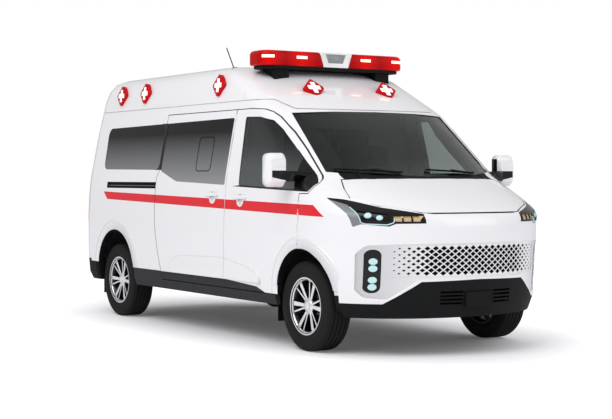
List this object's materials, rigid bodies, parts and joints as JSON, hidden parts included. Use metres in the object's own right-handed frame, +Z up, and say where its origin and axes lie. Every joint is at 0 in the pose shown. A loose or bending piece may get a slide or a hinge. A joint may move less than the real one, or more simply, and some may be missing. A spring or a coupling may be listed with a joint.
{
  "type": "van ambulance",
  "caption": "High-roof van ambulance with hinged front and rear doors, opening bonnet, steered front wheels, tinted windows, roof light bar and diamond cross lamps.",
  "frame": {"origin": "on the ground below the middle of the overall length and width", "axes": "+X forward, +Y to the vehicle's left, +Z up"},
  "size_m": [5.07, 2.43, 2.486],
  "materials": {
    "floor_steel": "satin",
    "white_paint": "gloss",
    "black_plastic": "grained",
    "lamp_pod": "gloss",
    "clear_lamp": "clear moulded",
    "window_glass": "tinted",
    "red_lens": "translucent",
    "tyre_rubber": "matt",
    "alloy_rim": "machined",
    "forged_steel": "plain",
    "black_steel": "satin",
    "speaker_housing": "satin",
    "cab_plastic": "grained",
    "seat_cloth": "woven",
    "engine_cast": "rough",
    "exhaust_steel": "dull",
    "liner_rubber": "matt"
  },
  "bodies": {
    "body": {"floor_pan": "floor_steel", "side_frame_right": "white_paint", "side_frame_left": "white_paint", "sills": "black_plastic", "roof_panel": "white_paint", "roof_cap": "white_paint", "front_wing_right": "white_paint", "front_wing_left": "white_paint", "door_posts": "white_paint", "front_fascia": "white_paint", "front_bumper": "black_plastic", "grille": "white_paint", "driving_lamps": "lamp_pod", "headlamps": "clear_lamp", "cowl": "black_plastic", "windscreen": "window_glass", "sliding_door": "white_paint", "side_glass": "window_glass", "rear_bumper": "black_plastic", "tail_lamps": "red_lens", "front_subframe": "black_steel", "rear_axle": "black_steel", "wheel_liners": "black_plastic", "light_bar_base": "black_plastic", "light_bar_lenses": "red_lens", "light_bar_speaker": "speaker_housing", "cross_lamps": "red_lens", "antenna": "black_plastic", "dashboard": "cab_plastic", "steering_wheel": "cab_plastic", "front_seats": "seat_cloth", "partition": "white_paint", "engine_block": "engine_cast", "fuel_tank": "black_steel", "exhaust": "exhaust_steel", "mud_flaps": "liner_rubber", "plate_holder": "black_plastic"},
    "bonnet": {"bonnet": "white_paint"},
    "front_door_right": {"front_door_right": "white_paint", "front_door_glass_right": "window_glass", "mirror_right": "white_paint"},
    "rear_door_right": {"rear_door_right": "white_paint", "rear_glass_right": "window_glass"},
    "knuckle_right": {"knuckle_right": "forged_steel"},
    "wheel_front_right": {"tyre_front_right": "tyre_rubber", "rim_front_right": "alloy_rim"},
    "wheel_rear_right": {"tyre_rear_right": "tyre_rubber", "rim_rear_right": "alloy_rim"},
    "front_door_left": {"front_door_left": "white_paint", "front_door_glass_left": "window_glass", "mirror_left": "white_paint"},
    "rear_door_left": {"rear_door_left": "white_paint", "rear_glass_left": "window_glass"},
    "knuckle_left": {"knuckle_left": "forged_steel"},
    "wheel_front_left": {"tyre_front_left": "tyre_rubber", "rim_front_left": "alloy_rim"},
    "wheel_rear_left": {"tyre_rear_left": "tyre_rubber", "rim_rear_left": "alloy_rim"}
  },
  "joints": [
    {"name": "bonnet_hinge", "type": "hinge", "parent": "body", "child": "bonnet", "pos_m": [1.773, 0, 1.31], "axis": [0, -1, 0], "range_deg": [0, 50]},
    {"name": "front_door_right_hinge", "type": "hinge", "parent": "body", "child": "front_door_right", "pos_m": [1.5705, -1.012, 0.93], "axis": [0, 0, 1], "range_deg": [0, 70]},
    {"name": "rear_door_right_hinge", "type": "hinge", "parent": "body", "child": "rear_door_right", "pos_m": [-2.476, -0.8695, 0.85], "axis": [0, 0, 1], "range_deg": [0, 90]},
    {"name": "steer_right", "type": "hinge", "parent": "body", "child": "knuckle_right", "pos_m": [1.595, -0.798, 0.346], "axis": [0, 0, 1], "range_deg": [-35, 35]},
    {"name": "front_door_left_hinge", "type": "hinge", "parent": "body", "child": "front_door_left", "pos_m": [1.5705, 1.012, 0.93], "axis": [0, 0, -1], "range_deg": [0, 70]},
    {"name": "rear_door_left_hinge", "type": "hinge", "parent": "body", "child": "rear_door_left", "pos_m": [-2.476, 0.8695, 0.85], "axis": [0, 0, -1], "range_deg": [0, 90]},
    {"name": "steer_left", "type": "hinge", "parent": "body", "child": "knuckle_left", "pos_m": [1.595, 0.798, 0.346], "axis": [0, 0, 1], "range_deg": [-35, 35]},
    {"name": "wheel_front_right_spin", "type": "hinge", "parent": "knuckle_right", "child": "wheel_front_right", "pos_m": [1.595, -0.858, 0.346], "axis": [0, 1, 0], "continuous": true},
    {"name": "wheel_rear_right_spin", "type": "hinge", "parent": "body", "child": "wheel_rear_right", "pos_m": [-1.771, -0.858, 0.346], "axis": [0, 1, 0], "continuous": true},
    {"name": "wheel_front_left_spin", "type": "hinge", "parent": "knuckle_left", "child": "wheel_front_left", "pos_m": [1.595, 0.858, 0.346], "axis": [0, 1, 0], "continuous": true},
    {"name": "wheel_rear_left_spin", "type": "hinge", "parent": "body", "child": "wheel_rear_left", "pos_m": [-1.771, 0.858, 0.346], "axis": [0, 1, 0], "continuous": true}
  ],
  "couplings": [
    {"joint": "steer_left", "follows": "steer_right", "ratio": 1}
  ]
}
